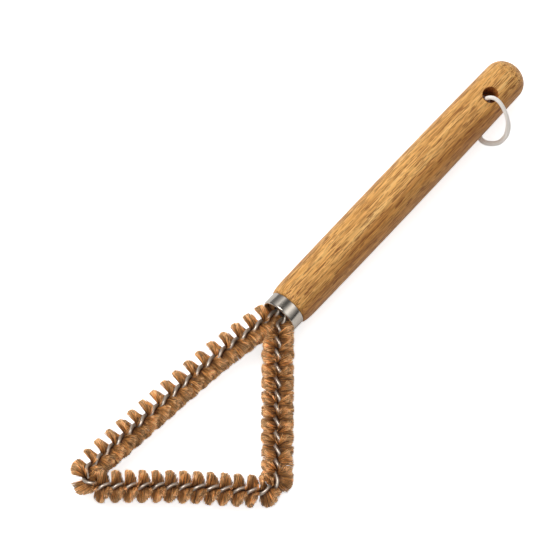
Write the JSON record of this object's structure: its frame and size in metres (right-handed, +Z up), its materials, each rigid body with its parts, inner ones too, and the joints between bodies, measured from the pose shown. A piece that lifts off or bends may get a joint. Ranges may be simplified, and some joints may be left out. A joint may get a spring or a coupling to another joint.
{
  "type": "gap cleaning brush",
  "caption": "Hand brush for cleaning narrow gaps: twisted wire bent into a bristled triangle, held by a steel ferrule on a turned wooden handle with a cord loop through its end.",
  "frame": {"origin": "middle of the footprint of the brush without its cord, on the table it lies on", "axes": "+Y along the handle towards the end with the cord, +X across it towards the blunt corner of the bristled triangle, +Z up from the table"},
  "size_m": [0.0886, 0.3124, 0.0268],
  "materials": {
    "oiled_wood": "oiled, open grain",
    "polished_steel": "polished",
    "wire_steel": "bright drawn wire",
    "tan_bristle": "matte plant fibre",
    "dark_resin": "matte",
    "white_cord": "woven cotton"
  },
  "bodies": {
    "brush": {"handle": "oiled_wood", "ferrule": "polished_steel", "socket_resin": "dark_resin", "wire_strand_a": "wire_steel", "wire_strand_b": "wire_steel", "bristles_left": "tan_bristle", "bristles_base": "tan_bristle", "bristles_right": "tan_bristle"},
    "hanging_loop": {"hanging_cord": "white_cord", "cord_knot": "white_cord"}
  },
  "joints": [
    {"name": "loop_swing", "type": "hinge", "parent": "brush", "child": "hanging_loop", "pos_m": [-0.0195, 0.13366, 0.0132], "axis": [0.3217, -0.0145, 0.9467], "range_deg": [-4, 60]}
  ]
}
